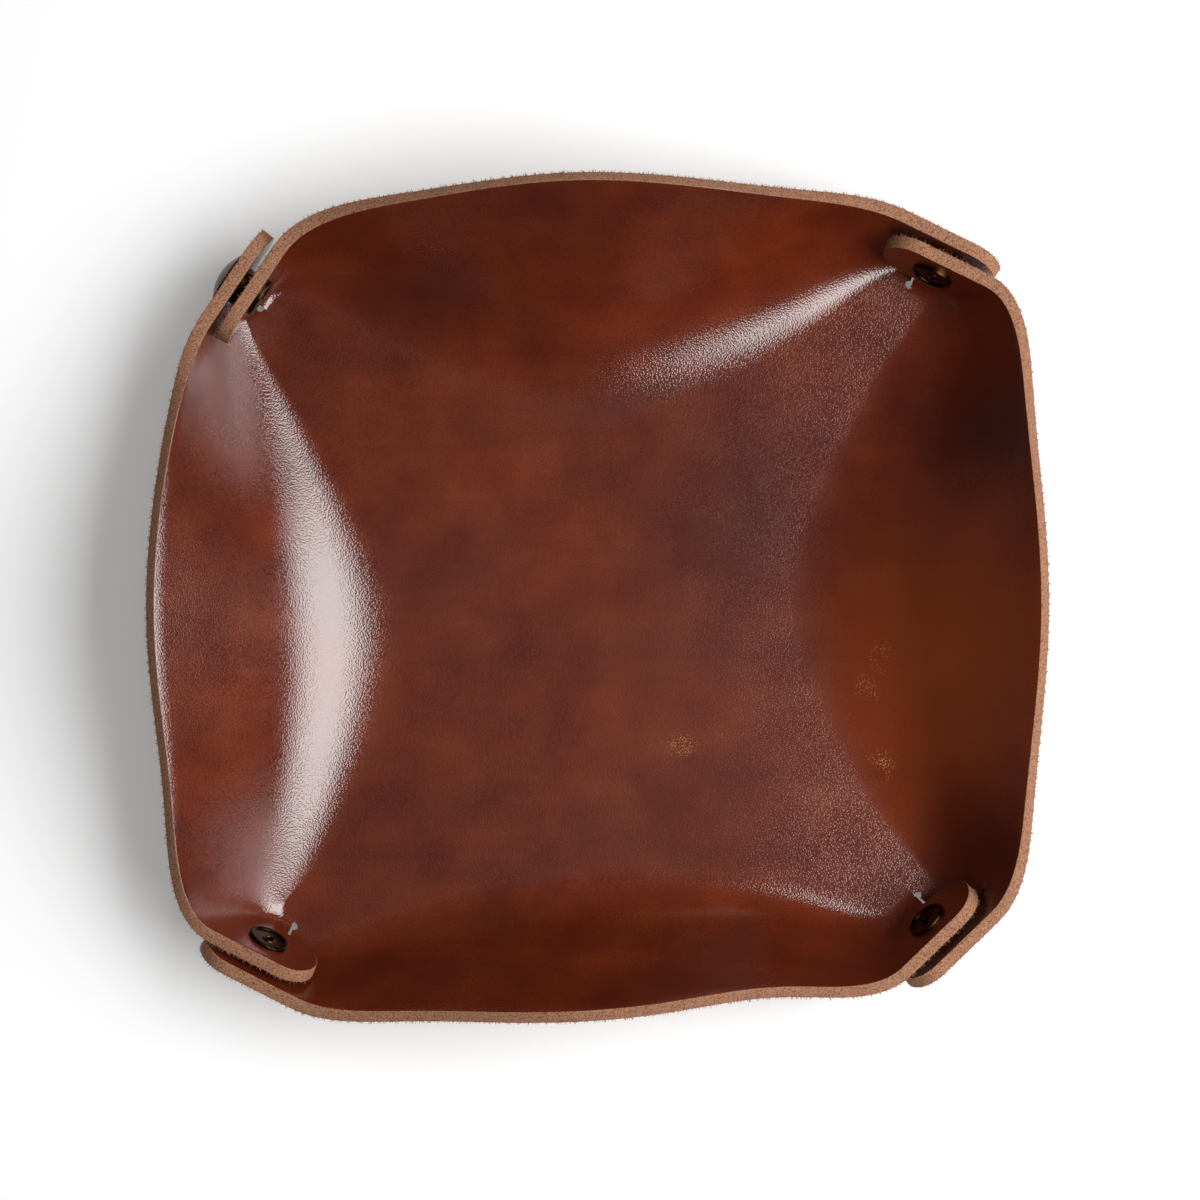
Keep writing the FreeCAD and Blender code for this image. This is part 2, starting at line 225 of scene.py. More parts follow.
class Corner:
    """Where two tabs overlap: the line midway between them at rim height, and the press stud's axis."""

    def __init__(self, index):
        sizes = settings().leather
        self.sizes = sizes
        self.name = CORNER_NAMES[index]
        self.middle = plan_point(CORNER_PLAN_SHARES[index])
        angle = math.radians(CORNER_HEADING_DEG[index])
        self.along = Vector((math.cos(angle), math.sin(angle), 0))
        self.outward = -right_of(self.along)
        self.reach = CORNER_REACH_MM[index] * MM
        self.slit = SLIT_SHIFT_MM[index] * MM
        self.slope = bend_angle(self.reach, sizes.corner_height, sizes.corner_bend)
        self.inner_rim = -sizes.tab_gap / 2 / math.sin(self.slope)
        self.outer_rim = self.inner_rim + (sizes.thickness + sizes.tab_gap) / math.sin(self.slope)
        self.axis = self.outward * math.sin(self.slope) - Z * math.cos(self.slope)
        up_slope = self.outward * math.cos(self.slope) + Z * math.sin(self.slope)
        self.snap = self.middle + Z * sizes.corner_height - up_slope * sizes.snap_drop
        self.tab_low = sizes.corner_height - sizes.tab_width * math.sin(self.slope)

    def tab_section(self, run, offset):
        """A cut through a tab, run along it from the press stud, with its rim offset outward."""
        sizes = self.sizes
        past = max(0.0, abs(run) - sizes.tip_flat)
        side = math.copysign(1, run)
        turn = side * past / sizes.tab_curl
        along = self.along * math.cos(turn) - self.outward * math.sin(turn)
        centre = self.middle + self.along * (run - side * past) - self.outward * sizes.tab_curl
        rim = centre - right_of(along) * (sizes.tab_curl + offset)
        return Section(rim, along, self.reach, sizes.corner_height, sizes.corner_bend)

    def wall_section(self, run, offset, base_run):
        """The cut where a wall leaves its flat stretch, fanned out from beside the slit."""
        rim = self.middle + self.along * run + self.outward * offset
        sizes = self.sizes
        return Section(rim, self.along, self.reach, sizes.corner_height, sizes.corner_bend, run - base_run)

    def hinge(self):
        """A point on the line that the outer tab bends about, and the way from there to the tab's tip."""
        sizes = self.sizes
        fall = (sizes.corner_height - sizes.hinge_low) / math.tan(self.slope)
        face = self.middle + self.outward * self.outer_rim
        upper = face + self.along * (self.slit - sizes.hinge_run) + Z * sizes.corner_height
        lower = face - self.outward * fall + self.along * self.slit + Z * sizes.hinge_low
        to_tip = self.axis.cross((upper - lower).normalized())
        return (lower + upper) / 2, to_tip * math.copysign(1, to_tip.dot(self.along))


class RimCurve:
    """Smooth curve through the points of a rim, with given headings at its two ends."""

    def __init__(self, points, first_heading, last_heading):
        self.points = points
        self.steps = [(b - a).length for a, b in zip(points, points[1:])]
        self.total = sum(self.steps)
        self.slopes = [first_heading.copy()]
        self.slopes += [(points[i + 1] - points[i - 1]).normalized() for i in range(1, len(points) - 1)]
        self.slopes.append(last_heading.copy())
        for _ in range(RIM_PASSES):
            for i in range(1, len(points) - 1):
                before, after = self.steps[i - 1], self.steps[i]
                pull = (points[i] - points[i - 1]) * (3 / before ** 2)
                pull += (points[i + 1] - points[i]) * (3 / after ** 2)
                pull -= self.slopes[i - 1] / before + self.slopes[i + 1] / after
                self.slopes[i] = pull / (2 / before + 2 / after)

    def at(self, share):
        """Point and heading at a share of the way."""
        run = share * self.total
        i = 0
        while i < len(self.steps) - 1 and run > self.steps[i]:
            run -= self.steps[i]
            i += 1
        step = self.steps[i]
        t = run / step
        a, b = self.points[i], self.points[i + 1]
        da, db = self.slopes[i] * step, self.slopes[i + 1] * step
        point = a * (2 * t ** 3 - 3 * t ** 2 + 1) + da * (t ** 3 - 2 * t ** 2 + t)
        point += b * (3 * t ** 2 - 2 * t ** 3) + db * (t ** 3 - t ** 2)
        way = (b - a) * (6 * t - 6 * t ** 2) + da * (3 * t ** 2 - 4 * t + 1) + db * (3 * t ** 2 - 2 * t)
        return point, way.normalized()


class Wall:
    """One wall, from the slit at its first corner to the slit at its last one, clockwise."""

    def __init__(self, index, corners):
        sizes = settings().leather
        self.sizes = sizes
        self.first = corners[index]
        self.last = corners[(index + 1) % len(corners)]
        first, last = self.first, self.last
        inner_slit = first.slit + sizes.slit_kerf / 2
        outer_slit = last.slit - sizes.slit_kerf / 2
        self.inner_edge = first.tab_section(inner_slit, first.inner_rim)
        self.outer_edge = last.tab_section(outer_slit, last.outer_rim)
        self.start = first.wall_section(sizes.wall_flat, first.inner_rim, inner_slit + sizes.fold_room)
        self.end = last.wall_section(-sizes.wall_flat, last.outer_rim, outer_slit - sizes.fold_room)
        self.start_rim = first.middle + first.along * sizes.wall_flat + first.outward * first.inner_rim
        self.end_rim = last.middle - last.along * sizes.wall_flat + last.outward * last.outer_rim
        rim = [self.start_rim] + [plan_point(shares) for shares in RIM_PLAN_SHARES[index]] + [self.end_rim]
        self.rim = RimCurve(rim, first.along, last.along)
        self.reach = WALL_REACH_MM[index] * MM
        self.bend = WALL_BEND_MM[index] * MM
        self.fullness = WALL_FULLNESS[index]
        self.low_shares = (self.inner_edge.share_at(first.tab_low), self.outer_edge.share_at(last.tab_low))

    def section(self, share):
        """A cut part of the way along the wall: 0 at its first corner, 1 at its last."""
        sizes = self.sizes
        bulge = math.sin(math.pi * share)
        corner_way = self.first.reach + (self.last.reach - self.first.reach) * share
        lean_way = self.start.lean + (self.end.lean - self.start.lean) * share
        swell = bulge ** self.fullness
        reach = corner_way + (self.reach - corner_way) * swell
        height = sizes.corner_height + (sizes.wall_height - sizes.corner_height) * bulge ** 2
        bend = sizes.corner_bend + (self.bend - sizes.corner_bend) * swell
        rim, along = self.rim.at(share)
        return Section(rim, along, reach, height, bend, lean_way * (1 - bulge))


# Columns and rows of the leather's mesh
FAN_COLUMNS = 6
WALL_COLUMNS = 64
TAB_COLUMNS = 10
TIP_COLUMNS = 8
LOW_ROWS = 14
TAB_ROWS = 14
FLOOR_RINGS = 20
FLOOR_SMOOTHING = 30
FLOOR_PULL = 0.5
PUNCH_SIDES = 32
EDGE_SEGMENTS = 3
SOFT_ANGLE = math.radians(40)
# A point of the floor that every point of the folds can be seen from
FLOOR_MIDDLE_SHARES = (0.056, -0.157)
# Points closer than the first are one point. Within the second, a point lies on the floor or ends a fold
SAME_POINT = 0.01 * MM
TOUCHING = 0.0005 * MM

# Slow waves: clear of the press studs up to the start, at full height past the fade
WAVE_START = 22 * MM
WAVE_FADE = 30 * MM
WAVE_LENGTH = 45 * MM

# Punches, in thicknesses of the leather
SLIT_PUNCH_DEPTH = 2.4
RIVET_PUNCH_DEPTH = 4

# Bend of an outer tab, before and after its hinge line, and the reach of the cut beside it
BEND_BEFORE = 2 * MM
BEND_AFTER = 3.2 * MM
CORNER_ROOM = 45 * MM
INNER_TIP_ROOM = 0.5 * MM
SEAM_ROOM = 8 * MM

# Cut edge: lowest height with rounded arrises, largest face of a rounding, and loose fibres
ARRIS_LOW = 12 * MM
ARRIS_AREA = 2 * MM ** 2
FUZZ_SEED = 4
FUZZ_FACING = 0.8
FUZZ_PER_AREA = 12 / MM ** 2
FUZZ_SPREAD = 0.8
FUZZ_RADIUS = 0.06 * MM
FUZZ_LENGTHS = (0.4 * MM, 1.1 * MM)


def row_share(row, low_share):
    """Share of the way up a wall at a row, so that one row meets the lower edge of the tabs."""
    if row <= LOW_ROWS:
        return low_share * row / LOW_ROWS
    return low_share + (1 - low_share) * (row - LOW_ROWS) / TAB_ROWS


def grid(columns, rows, place):
    """A grid whose points are placed by column and row."""
    bpy.ops.object.select_all(action="DESELECT")
    bpy.ops.mesh.primitive_grid_add(x_subdivisions=columns, y_subdivisions=rows, size=1)
    made = bpy.context.object
    for point in made.data.vertices:
        column = round((point.co.x + 0.5) * columns)
        row = round((point.co.y + 0.5) * rows)
        point.co = place(column, row)
    return made


def wall_grid(wall):
    """The wall between its two slits, with the fans that lead to its tabs."""
    columns = WALL_COLUMNS + 2 * FAN_COLUMNS

    def place(column, row):
        at_first = column <= FAN_COLUMNS
        at_last = column >= FAN_COLUMNS + WALL_COLUMNS
        share = min(1, max(0, (column - FAN_COLUMNS) / WALL_COLUMNS))
        first_low, last_low = wall.low_shares
        up = row_share(row, first_low + (last_low - first_low) * share)
        if at_first:
            way = column / FAN_COLUMNS
            return wall.inner_edge.at_share(up).lerp(wall.start.at_share(up), way)
        if at_last:
            way = (column - FAN_COLUMNS - WALL_COLUMNS) / FAN_COLUMNS
            return wall.end.at_share(up).lerp(wall.outer_edge.at_share(up), way)
        return wall.section(share).at_share(up)

    return grid(columns, LOW_ROWS + TAB_ROWS, place)


def tab_grid(corner, side):
    """A tab with a round tip: side -1 is the inner tab, side 1 the outer tab."""
    sizes = settings().leather
    offset = corner.inner_rim if side < 0 else corner.outer_rim
    slit = corner.slit - side * sizes.slit_kerf / 2
    top = corner.tab_section(slit, offset).rim_up
    radius = (top - corner.tab_low) / 2
    middle = (top + corner.tab_low) / 2
    tip = side * (sizes.tab_overlap / 2 - radius)

    def place(column, row):
        across = 2 * row / TAB_ROWS - 1
        if column <= TAB_COLUMNS:
            run = slit + (tip - slit) * column / TAB_COLUMNS
            up = middle + radius * across
        else:
            ahead = (column - TAB_COLUMNS) / TIP_COLUMNS
            run = tip + side * radius * ahead * math.sqrt(1 - across ** 2 / 2)
            up = middle + radius * across * math.sqrt(1 - ahead ** 2 / 2)
        return corner.tab_section(run, offset).at_height(up)

    return grid(TAB_COLUMNS + TIP_COLUMNS, TAB_ROWS, place)


def choose(obj, test):
    """Selects the points whose place passes a test, with the edges and faces between them."""
    for group in (obj.data.polygons, obj.data.edges):
        group.foreach_set("select", [False] * len(group))
    obj.data.vertices.foreach_set("select", [test(point.co) for point in obj.data.vertices])
    bpy.context.tool_settings.mesh_select_mode = (True, False, False)


def choose_faces(obj, test):
    """Selects the faces that pass a test."""
    for group in (obj.data.vertices, obj.data.edges):
        group.foreach_set("select", [False] * len(group))
    obj.data.polygons.foreach_set("select", [test(face) for face in obj.data.polygons])
    bpy.context.tool_settings.mesh_select_mode = (False, False, True)


def alone(obj):
    """Makes an object the only one that operators act on."""
    bpy.ops.object.select_all(action="DESELECT")
    obj.select_set(True)
    bpy.context.view_layer.objects.active = obj


def edit(obj, *steps):
    """Runs edit-mode steps on an object's chosen points."""
    alone(obj)
    bpy.ops.object.mode_set(mode="EDIT")
    for step in steps:
        step()
    bpy.ops.object.mode_set(mode="OBJECT")


def edit_all(obj, *steps):
    edit(obj, lambda: bpy.ops.mesh.select_all(action="SELECT"), *steps)


def join(name, parts):
    alone(parts[0])
    for part in parts:
        part.select_set(True)
    bpy.ops.object.join()
    parts[0].name = name
    parts[0].data.name = name
    bpy.ops.object.transform_apply(location=True, rotation=True, scale=True)
    return parts[0]


def apply_modifier(obj, kind, **values):
    modifier = obj.modifiers.new(kind.lower(), kind)
    for key, value in values.items():
        setattr(modifier, key, value)
    alone(obj)
    bpy.ops.object.modifier_apply(modifier=modifier.name)


def blank_surface(walls):
    """Grain side of the whole blank, as one open sheet."""
    parts = []
    for wall in walls:
        parts.append(wall_grid(wall))
        parts.append(tab_grid(wall.first, -1))
        parts.append(tab_grid(wall.last, 1))
    blank = join("leather_sheet", parts)
    edit_all(blank, lambda: bpy.ops.mesh.remove_doubles(threshold=SAME_POINT))
    close_floor(blank, walls)
    return blank


def spot(place):
    """A point's place, rounded so that it can be found again."""
    return tuple(round(value / MM, 3) for value in place)


def shrink_ring(ring):
    """Extrudes the chosen ring of the floor and draws it in towards the middle."""
    shrink = (FLOOR_RINGS - ring) / (FLOOR_RINGS - ring + 1)
    bpy.ops.mesh.extrude_edges_move()
    bpy.ops.transform.resize(value=(shrink, shrink, 1), center_override=plan_point(FLOOR_MIDDLE_SHARES))


def close_floor(blank, walls):
    """Joins the folds of neighbouring walls at their slits, and fills the floor between the folds."""
    level = settings().leather.thickness
    for index, wall in enumerate(walls):
        ends = [walls[index - 1].outer_edge.at_share(0), wall.inner_edge.at_share(0)]
        choose(blank, lambda place: min((place - end).length for end in ends) < TOUCHING)
        edit(blank, bpy.ops.mesh.edge_face_add)
    fold = {spot(point.co) for point in blank.data.vertices if abs(point.co.z - level) < TOUCHING}
    choose(blank, lambda place: abs(place.z - level) < TOUCHING)
    edit(blank, *[lambda ring=ring: shrink_ring(ring) for ring in range(1, FLOOR_RINGS)],
         lambda: bpy.ops.mesh.merge(type="CENTER"))
    choose(blank, lambda place: abs(place.z - level) < TOUCHING and spot(place) not in fold)
    edit(blank, lambda: bpy.ops.mesh.vertices_smooth(factor=FLOOR_PULL, repeat=FLOOR_SMOOTHING))
    edit_all(blank, lambda: bpy.ops.mesh.normals_make_consistent(inside=False))
    floor_faces = [face for face in blank.data.polygons if abs(face.center.z - level) < TOUCHING]
    if sum(face.normal.z for face in floor_faces) < 0:
        edit_all(blank, bpy.ops.mesh.flip_normals)


def wave(blank, corners):
    """Slow waves of thick leather, which die out towards the press studs."""
    sizes = settings().leather
    normals = [point.normal.copy() for point in blank.data.vertices]
    for point, normal in zip(blank.data.vertices, normals):
        away = min((point.co - corner.snap).length for corner in corners)
        fade = min(1, max(0, (away - WAVE_START) / WAVE_FADE))
        swell = (noise.noise(point.co / WAVE_LENGTH) + 1) / 2
        point.co += normal * (sizes.waviness * fade * swell)


def cut_holes(leather, corners, walls):
    """Punches the slit ends and the rivet holes."""
    sizes = settings().leather
    cutters = []
    for index, corner in enumerate(corners):
        slit_end = (walls[index - 1].outer_edge.base + walls[index].inner_edge.base) / 2
        for middle, axis, radius, depth in (
                (slit_end, Z, sizes.slit_hole, SLIT_PUNCH_DEPTH * sizes.thickness),
                (corner.snap, corner.axis, sizes.rivet_hole, RIVET_PUNCH_DEPTH * sizes.thickness)):
            bpy.ops.object.select_all(action="DESELECT")
            turn = axis.to_track_quat("Z", "Y").to_euler()
            bpy.ops.mesh.primitive_cylinder_add(vertices=PUNCH_SIDES, radius=radius, depth=depth,
                                                location=middle, rotation=turn)
            cutters.append(bpy.context.object)
    punch = join("punch", cutters)
    edge_material = leather.data.materials[EDGE]
    punch.data.materials.append(edge_material)
    apply_modifier(leather, "BOOLEAN", operation="DIFFERENCE", solver="EXACT", object=punch,
                   material_mode="TRANSFER", use_self=False)
    bpy.data.objects.remove(punch)


def is_outer_tab(corner, place):
    """Whether a place is on a corner's outer tab or the wall that leads to it."""
    from_snap = place - corner.snap
    if from_snap.length > CORNER_ROOM:
        return False
    past_inner_tab = from_snap.dot(corner.along) < -corner.sizes.tab_overlap / 2 - INNER_TIP_ROOM
    return past_inner_tab or from_snap.dot(corner.axis) > 0


def split_flap(leather, corner):
    """Cuts the leather along the seam of one outer tab, and takes the tab off as a piece of its own."""
    hinge, to_tip = corner.hinge()
    seam = hinge - to_tip * BEND_BEFORE

    def from_seam(place):
        return (place - seam).dot(to_tip)

    choose_faces(leather, lambda face: abs(from_seam(face.center)) < SEAM_ROOM
                 and is_outer_tab(corner, face.center))
    edit(leather, lambda: bpy.ops.mesh.bisect(plane_co=seam, plane_no=to_tip))
    choose_faces(leather, lambda face: from_seam(face.center) > 0 and is_outer_tab(corner, face.center))
    before = set(bpy.data.objects)
    edit(leather, lambda: bpy.ops.mesh.separate(type="SELECTED"))
    flap = (set(bpy.data.objects) - before).pop()
    flap.name = "leather_flap_" + corner.name
    flap.data.name = flap.name
    return flap, seam, hinge + to_tip * BEND_AFTER


def close_seam(piece):
    """Closes the cut through the leather with triangles from side to side, and mends what they leave."""
    mesh = bpy.ops.mesh
    choose(piece, lambda place: False)
    edit(piece, mesh.select_non_manifold, mesh.mark_sharp,
         lambda: mesh.fill_holes(sides=0),
         lambda: mesh.quads_convert_to_tris(quad_method="BEAUTY", ngon_method="CLIP"),
         mesh.beautify_fill,
         lambda: mesh.select_non_manifold(extend=False, use_multi_face=False, use_non_contiguous=False),
         lambda: mesh.delete(type="EDGE"),
         lambda: mesh.select_non_manifold(extend=False),
         lambda: mesh.fill_holes(sides=0))


def mark_arris(leather):
    """Marks the arrises of the cut edge to round off, all but those at the foot of a tab."""
    weights = leather.data.attributes.new("bevel_weight_edge", "FLOAT", "EDGE")
    sides = {}
    for face in leather.data.polygons:
        for key in face.edge_keys:
            sides.setdefault(key, set()).add(face.material_index == EDGE)
    points = leather.data.vertices
    for edge in leather.data.edges:
        low = min(points[index].co.z for index in edge.vertices)
        weights.data[edge.index].value = len(sides[edge.key]) == 2 and low > ARRIS_LOW


def gloss_arris(leather):
    """Gives the edge strip next to the grain its waxed surface."""
    grain_edges = set()
    for face in leather.data.polygons:
        if face.material_index == GRAIN:
            grain_edges.update(face.edge_keys)
    for face in leather.data.polygons:
        is_arris = face.material_index == EDGE and face.area < ARRIS_AREA
        if is_arris and grain_edges.intersection(face.edge_keys):
            face.material_index = GRAIN


def fuzz(leather):
    """Loose fibres that stand out of the cut edge along its flesh side."""
    seed = random.Random(FUZZ_SEED)
    points, faces = [], []
    for face in leather.data.polygons:
        middle = face.center
        outward = Vector((middle.x, middle.y, 0)).normalized()
        is_high_edge = face.material_index == EDGE and middle.z >= ARRIS_LOW
        if not is_high_edge or face.normal.dot(outward) < FUZZ_FACING:
            continue
        count = face.area * FUZZ_PER_AREA
        rim = [leather.data.vertices[index].co for index in face.vertices]
        for _ in range(int(count) + (seed.random() < count % 1)):
            near = rim[0].lerp(rim[1], seed.random())
            far = rim[-1].lerp(rim[-2], seed.random())
            root = near.lerp(far, seed.random())
            way = face.normal + Vector([seed.uniform(-1, 1) for _ in range(3)]) * FUZZ_SPREAD
            way.normalize()
            side = way.orthogonal() * FUZZ_RADIUS
            across = way.cross(side)
            first = len(points)
            points += [root + side, root - side / 2 + across, root - side / 2 - across]
            points.append(root + way * seed.uniform(*FUZZ_LENGTHS))
            faces += [(first, first + 1, first + 3), (first + 1, first + 2, first + 3),
                      (first + 2, first, first + 3), (first + 2, first + 1, first)]
    mesh = bpy.data.meshes.new("fuzz")
    mesh.from_pydata(points, [], faces)
    mesh.materials.append(leather.data.materials[EDGE])
    fibres = bpy.data.objects.new("fuzz", mesh)
    bpy.context.scene.collection.objects.link(fibres)
    join(leather.name, [leather, fibres])


class VALET_OT_leather(bpy.types.Operator):
    """Make the leather: one blank with four bent walls, and the four tabs that snap over its corners"""
    bl_idname = "valet.leather"
    bl_label = "Leather"

    def execute(self, context):
        sizes = settings().leather
        corners = [Corner(index) for index in range(len(CORNER_NAMES))]
        walls = [Wall(index, corners) for index in range(len(CORNER_NAMES))]
        leather = blank_surface(walls)
        wave(leather, corners)
        for material in (grain_leather(), flesh_leather(), cut_leather()):
            leather.data.materials.append(material)
        apply_modifier(leather, "SOLIDIFY", thickness=sizes.thickness, offset=-1, use_even_offset=True,
                       material_offset=FLESH, material_offset_rim=EDGE)
        mark_arris(leather)
        apply_modifier(leather, "BEVEL", width=sizes.soft_edge, segments=EDGE_SEGMENTS, limit_method="WEIGHT",
                       material=EDGE, loop_slide=False)
        gloss_arris(leather)
        cut_holes(leather, corners, walls)
        fuzz(leather)
        alone(leather)
        bpy.ops.object.shade_smooth_by_angle(angle=SOFT_ANGLE)
        flaps = [split_flap(leather, corner) for corner in corners]
        for piece in [leather] + [flap for flap, start, end in flaps]:
            close_seam(piece)
        for corner, (flap, start, end) in zip(corners, flaps):
            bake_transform(flap)
            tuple(start)
            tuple(end)
            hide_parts("corner_flap_" + corner.name)
        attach(leather, "tray")
        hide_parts("leather_body")
        return {"FINISHED"}


# Materials

# Real sizes of the marks: pebble, cloudy mottle, oiled patches, brushed strokes, fibres, tarnish and nap
# The fibres of a cut edge are finer than this, and are drawn coarser so that they show
PEBBLE_MM = 0.48
PEBBLE_DEPTH = 0.035 * MM
MOTTLE_MM = 14
PATCH_MM = 60
STROKE_MM = (110, 16, 40)
STROKE_TURN = math.radians(14)
FIBRE_MM = 0.4
FIBRE_DEPTH = 0.25 * MM
TARNISH_MM = 4
NAP_MM = 4
# Half height of an oval spot, far above and below the tray, so that only its plan counts
SPOT_DEPTH_MM = 400

# Patches of the grain, partly patina and partly painted light and shade: middle, half sizes, turn, and colour
# with its strength
PATINA_AND_PAINTED_LIGHT_MM = [
    # Warm lift on the right wall: partly lighter dye, partly painted light on a wall that faces away from the
    # softbox
    ((84, -16), (40, 62), 0, "grain_red_and_light", 0.9),
    # Painted shade, with some patina, in the back right and front right corners
    ((94, 46), (20, 34), -20, "grain_dark_and_shade", 0.8),
    ((94, -62), (20, 24), 35, "grain_dark_and_shade", 0.7),
    # A darker patch at the back left
    ((-46, 72), (34, 22), 20, "grain_dark_and_shade", 0.5),
    # Painted shade on the right of the floor, where the leather shows less sheen
    ((38, 22), (44, 62), 0, "grain_dark_and_shade", 0.5),
]

# Rubbed spots of the grain: middle, half sizes, turn and strength
SCUFFS_MM = [
    ((72, -11), (5, 9), -25, 1.0),
    ((69, -42), (4.5, 6), -30, 1.0),
    ((66, -24), (4, 7), 0, 0.6),
    ((20, -36), (5, 4), 0, 0.5),
    ((-46, -65), (0.9, 5), 20, 0.6),
    ((48, -64), (7, 0.9), 10, 0.6),
]


def add(tree, kind, inputs=(), **values):
    """Adds a node with its settings. inputs gives a value, a node or a socket for each input's name."""
    node = tree.nodes.new(kind)
    for key, value in values.items():
        setattr(node, key, value)
    for name, value in dict(inputs).items():
        if isinstance(value, bpy.types.Node):
            value = value.outputs[0]
        if isinstance(value, bpy.types.NodeSocket):
            tree.links.new(value, node.inputs[name])
        else:
            node.inputs[name].default_value = value
    return node


def new_material(name):
    material = bpy.data.materials.new(name)
    material.use_nodes = True
    tree = material.node_tree
    tree.nodes.clear()
    return material, tree


def rgba(values):
    return (*values, 1)


def around(tree, place, middle_mm, size_mm, turn_deg):
    """Share that is 1 in the middle of an oval spot seen from above, and 0 outside it."""
    oval = add(tree, "ShaderNodeMapping", {
        "Vector": place, "Location": Vector((*middle_mm, 0)) * MM, "Rotation": (0, 0, math.radians(turn_deg)),
        "Scale": Vector((*size_mm, SPOT_DEPTH_MM)) * MM}, vector_type="TEXTURE")
    return add(tree, "ShaderNodeTexGradient", {"Vector": oval}, gradient_type="SPHERICAL")


def grain_leather():
    """Waxed vegetable-tanned cowhide, grain side: a fine pebble that sparkles, oiled patches, and patches of
    painted light and shade.
    """
    finishes = settings().finishes
    material, tree = new_material("waxed_grain_leather")
    place = add(tree, "ShaderNodeTexCoord").outputs["Object"]
    patches = add(tree, "ShaderNodeTexNoise", {
        "Vector": place, "Scale": 1 / (PATCH_MM * MM), "Detail": 4, "Distortion": 1.2})
    mottle = add(tree, "ShaderNodeTexNoise", {"Vector": place, "Scale": 1 / (MOTTLE_MM * MM), "Detail": 5})
    stroke = add(tree, "ShaderNodeMapping", {
        "Vector": place, "Rotation": (0, 0, STROKE_TURN), "Scale": [1 / (size * MM) for size in STROKE_MM]})
    strokes = add(tree, "ShaderNodeTexNoise", {"Vector": stroke, "Scale": 1, "Detail": 3, "Distortion": 0.6})
    pebbles = add(tree, "ShaderNodeTexVoronoi", {"Vector": place, "Scale": 1 / (PEBBLE_MM * MM)})
    dome = add(tree, "ShaderNodeMapRange", {
        "Value": pebbles, "From Min": 0, "From Max": 0.7, "To Min": 1, "To Max": 0})

    # Colour: redder clouds, dark patches and strokes, dark valleys between the pebbles
    warm = add(tree, "ShaderNodeMapRange", {"Value": mottle, "From Min": 0.3, "From Max": 0.8, "To Max": 0.5})
    base = add(tree, "ShaderNodeMixRGB", {
        "Fac": warm, "Color1": rgba(finishes.grain), "Color2": rgba(finishes.grain_red_and_light)})
    dark = rgba(finishes.grain_dark_and_shade)
    for mask, low, high, most in ((patches, 0.45, 0.8, 0.5), (strokes, 0.45, 0.8, 0.35), (dome, 0.4, 0, 0.2)):
        share = add(tree, "ShaderNodeMapRange", {
            "Value": mask, "From Min": low, "From Max": high, "To Max": most})
        base = add(tree, "ShaderNodeMixRGB", {"Fac": share, "Color1": base, "Color2": dark})

    # Patches from the table: patina together with painted light and shade
    for middle, size, turn, tone, strength in PATINA_AND_PAINTED_LIGHT_MM:
        oval = around(tree, place, middle, size, turn)
        share = add(tree, "ShaderNodeMapRange", {"Value": oval, "To Max": strength},
                    interpolation_type="SMOOTHSTEP")
        patina_and_light_tone = rgba(getattr(finishes, tone))
        base = add(tree, "ShaderNodeMixRGB", {"Fac": share, "Color1": base, "Color2": patina_and_light_tone})

    # Rubbed spots, which show on the tops of the pebbles only
    tops = add(tree, "ShaderNodeMapRange", {"Value": dome, "From Min": 0.45, "From Max": 0.75})
    patchy = add(tree, "ShaderNodeMapRange", {"Value": mottle, "From Min": 0.42, "From Max": 0.55})
    worn = add(tree, "ShaderNodeMath", {0: tops, 1: patchy}, operation="MULTIPLY")
    for middle, size, turn, strength in SCUFFS_MM:
        oval = around(tree, place, middle, size, turn)
        rubbed = add(tree, "ShaderNodeMapRange", {
            "Value": oval, "From Min": 0.05, "From Max": 0.5, "To Max": strength})
        share = add(tree, "ShaderNodeMath", {0: rubbed, 1: worn}, operation="MULTIPLY")
        base = add(tree, "ShaderNodeMixRGB", {"Fac": share, "Color1": base, "Color2": rgba(finishes.scuff)})

    bump = add(tree, "ShaderNodeBump", {"Height": dome, "Strength": 1, "Distance": PEBBLE_DEPTH})
    rough = add(tree, "ShaderNodeMapRange", {
        "Value": mottle, "From Min": 0.3, "From Max": 0.7, "To Min": 0.15, "To Max": 0.22})
    shader = add(tree, "ShaderNodeBsdfPrincipled", {
        "Base Color": base, "Normal": bump, "IOR": 1.5, "Roughness": rough,
        "Coat Weight": 1, "Coat IOR": 1.6, "Coat Roughness": 0.19, "Coat Normal": bump})
    add(tree, "ShaderNodeOutputMaterial", {"Surface": shader})
    return material


def flesh_leather():
    """Vegetable-tanned cowhide, flesh side: a dull short nap."""
    finishes = settings().finishes
    material, tree = new_material("flesh_side_leather")
    place = add(tree, "ShaderNodeTexCoord").outputs["Object"]
    nap = add(tree, "ShaderNodeTexNoise", {"Vector": place, "Scale": 1 / (FIBRE_MM * MM), "Detail": 6})
    clouds = add(tree, "ShaderNodeTexNoise", {"Vector": place, "Scale": 1 / (NAP_MM * MM), "Detail": 6})
    both = add(tree, "ShaderNodeMath", {0: nap, 1: clouds}, operation="MULTIPLY")
    pale = add(tree, "ShaderNodeMapRange", {"Value": both, "From Min": 0.15, "From Max": 0.35})
    base = add(tree, "ShaderNodeMixRGB", {
        "Fac": pale, "Color1": rgba(finishes.edge_dark), "Color2": rgba(finishes.flesh)})
    bump = add(tree, "ShaderNodeBump", {"Height": nap, "Strength": 0.5, "Distance": FIBRE_DEPTH})
    shader = add(tree, "ShaderNodeBsdfPrincipled", {
        "Base Color": base, "Roughness": 0.85, "Normal": bump, "Sheen Weight": 0.3})
    add(tree, "ShaderNodeOutputMaterial", {"Surface": shader})
    return material


